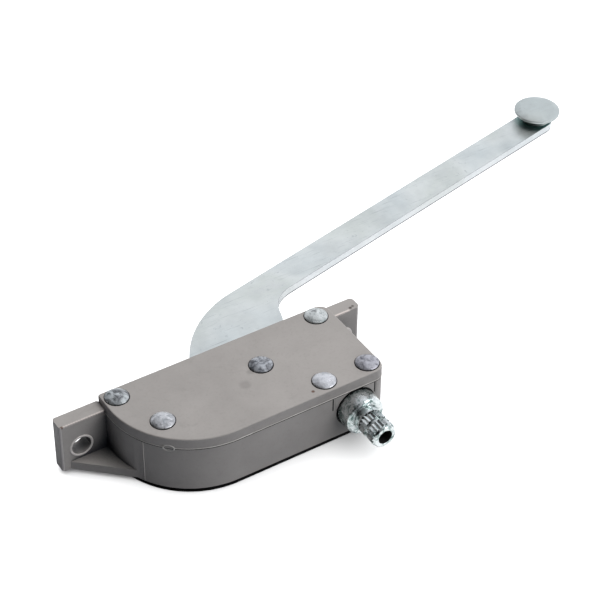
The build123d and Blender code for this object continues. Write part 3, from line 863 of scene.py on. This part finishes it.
studio = {
    "floorTone": (0.50, 0.50, 0.50),     # lit bright, so it shows as white
    "bounceTone": (0.19, 0.20, 0.235),
    "mirrorTone": (0.86, 0.88, 0.89),
    "sheetWide": 14,
    "bounceDrop": 0.3 * mm,
    "mirrorDrop": 0.15 * mm,
    "shadeRise": 0.05 * mm,
    "shadeInset": 0.5 * mm,              # dark sheet under the casing starts this far in
    "washPlace": (0, 0, 2.2),
    "washSize": (7, 7),
    "washPower": 640,
    "skyLow": 0.65,       # share of the light that comes back up from below
    "skyDark": 0.0,       # towards the left
    "skyBright": 0.88,    # towards the right
    "skyTurn": 8,         # way the bright side lies, in degrees from +X
    "skySide": (-0.7, 0.6),
    "skyRise": (-0.05, 0.08),
    "skyTone": (0.96, 0.98, 1.03),
    "backdrop": (0.96, 0.96, 0.965),
    "keyPlace": (0.62, -0.14, 1.6),
    "keySize": (1.25, 1.25),
    "keyPower": 28,
    "keyTone": (1.0, 0.975, 0.95),
    "frontPlace": (0.45, -1.25, 0.42),
    "frontSize": (0.7, 0.7),
    "frontPower": 4.8,
    "glintPlace": (0.75, -0.9, 0.75),
    "glintSize": (0.35, 0.35),
    "glintPower": 3.2,
}


def studioSheet(name, drop, tone):  # one of the level sheets that stand in for the table top
    deselectAll()
    bpy.ops.mesh.primitive_plane_add(size=studio["sheetWide"], location=(0, 0, cadBox[0].z - drop))
    sheet = bpy.context.object
    sheet.name = name
    m = MaterialMaker(name + "Paper")
    m.colour(m.ramp(m.noise(3, 2), [(0.3, tone), (0.7, tuple(c * 0.99 for c in tone))]))
    m.shader.inputs["Roughness"].default_value = 0.7
    coat(sheet, m.material)
    sheet.visible_shadow = False
    return sheet


def makeFloor():  # the floor that shows, a greyer sheet for its bounce and a pale one for reflections
    floor = studioSheet("studioFloor", 0, studio["floorTone"])
    floor.visible_diffuse = False
    floor.visible_glossy = False
    shade = planSheet("contactShade", cadBox[0].z + studio["shadeRise"], -studio["shadeInset"])
    coat(shade, finish["gap"])
    bounce = studioSheet("bounceSheet", studio["bounceDrop"], studio["bounceTone"])
    bounce.visible_camera = False
    bounce.visible_glossy = False
    mirrored = studioSheet("mirrorSheet", studio["mirrorDrop"], studio["mirrorTone"])
    mirrored.visible_camera = False
    mirrored.visible_diffuse = False
    return floor


def lightGroup(name, pieces, state):  # pieces that a lamp lights, or those that it leaves out
    group = bpy.data.collections.new(name)
    for piece in pieces:
        group.objects.link(piece)
    for member in group.collection_objects:
        member.light_linking.link_state = state
    return group


def linkLamps(floor, wash, key, fill, glint):
    wash.light_linking.receiver_collection = lightGroup("floorOnly", [floor], "INCLUDE")
    swinging = [bpy.data.objects[name] for name in ("gooseneckArm", "trackButton")]
    wash.light_linking.blocker_collection = lightGroup("noArmShadow", swinging, "EXCLUDE")
    for lamp in (key, fill):
        lamp.light_linking.receiver_collection = lightGroup(lamp.name + "Leaves", [floor], "EXCLUDE")
    metals = ("crankShaft", "trackButton", "coverRivet", "pivotRivet")
    bright = [piece for piece in bpy.data.objects if piece.name.startswith(metals)]
    glint.light_linking.receiver_collection = lightGroup("brightPieces", bright, "INCLUDE")


def areaLight(name, place, target, size, power, tone=(1, 1, 1)):
    data = bpy.data.lights.new(name, "AREA")
    data.shape = "RECTANGLE"
    data.size, data.size_y = size
    data.energy = power
    data.color = tone
    lamp = bpy.data.objects.new(name, data)
    bpy.context.scene.collection.objects.link(lamp)
    lamp.location = place
    lamp.rotation_euler = (Vector(target) - Vector(place)).to_track_quat("-Z", "Y").to_euler()
    lamp.visible_camera = False
    return lamp


def makeLight():
    world = bpy.data.worlds.new("softWorld")
    world.use_nodes = True
    tree = world.node_tree
    place = tree.nodes.new("ShaderNodeTexCoord")
    mapping = tree.nodes.new("ShaderNodeMapping")
    mapping.inputs["Rotation"].default_value = (0, 0, math.radians(-studio["skyTurn"]))
    split = tree.nodes.new("ShaderNodeSeparateXYZ")
    side = tree.nodes.new("ShaderNodeMapRange")
    side.interpolation_type = "SMOOTHSTEP"
    up = tree.nodes.new("ShaderNodeMapRange")
    up.interpolation_type = "SMOOTHSTEP"
    tree.links.new(place.outputs["Generated"], mapping.inputs["Vector"])
    tree.links.new(mapping.outputs["Vector"], split.inputs["Vector"])
    tree.links.new(split.outputs["X"], side.inputs["Value"])
    side.inputs["From Min"].default_value, side.inputs["From Max"].default_value = studio["skySide"]
    side.inputs["To Min"].default_value = studio["skyDark"]
    side.inputs["To Max"].default_value = studio["skyBright"]
    tree.links.new(split.outputs["Z"], up.inputs["Value"])
    up.inputs["From Min"].default_value, up.inputs["From Max"].default_value = studio["skyRise"]
    up.inputs["To Min"].default_value = studio["skyLow"]
    strength = tree.nodes.new("ShaderNodeMath")
    strength.operation = "MULTIPLY"
    tree.links.new(side.outputs["Result"], strength.inputs[0])
    tree.links.new(up.outputs["Result"], strength.inputs[1])
    tree.links.new(strength.outputs["Value"], tree.nodes["Background"].inputs["Strength"])
    tree.nodes["Background"].inputs["Color"].default_value = (*studio["skyTone"], 1)
    plain = tree.nodes.new("ShaderNodeBackground")
    plain.inputs["Color"].default_value = (*studio["backdrop"], 1)
    seen = tree.nodes.new("ShaderNodeLightPath")
    chosen = tree.nodes.new("ShaderNodeMixShader")
    tree.links.new(seen.outputs["Is Camera Ray"], chosen.inputs["Fac"])
    tree.links.new(tree.nodes["Background"].outputs["Background"], chosen.inputs[1])
    tree.links.new(plain.outputs["Background"], chosen.inputs[2])
    tree.links.new(chosen.outputs["Shader"], tree.nodes["World Output"].inputs["Surface"])
    bpy.context.scene.world = world


def makeLamps():
    lamps = []
    for name, key, target, tone in (
        ("floorWash", "wash", (0, 0, 0), (1, 1, 1)), ("overhead", "key", (0.03, 0, 0), studio["keyTone"]),
        ("frontFill", "front", (0, 0, 0), (1, 1, 1)), ("crankGlint", "glint", shaftPlace, (1, 1, 1)),
    ):
        place, size, power = (studio[key + part] for part in ("Place", "Size", "Power"))
        lamps.append(areaLight(name, place, target, size, power, tone))
    for lamp in lamps[:3]:
        lamp.visible_glossy = False
    lamps[3].visible_diffuse = False
    return lamps


makeLight()
linkLamps(makeFloor(), *makeLamps())
bpy.context.scene.view_settings.view_transform = "Standard"
print("floor and light made")
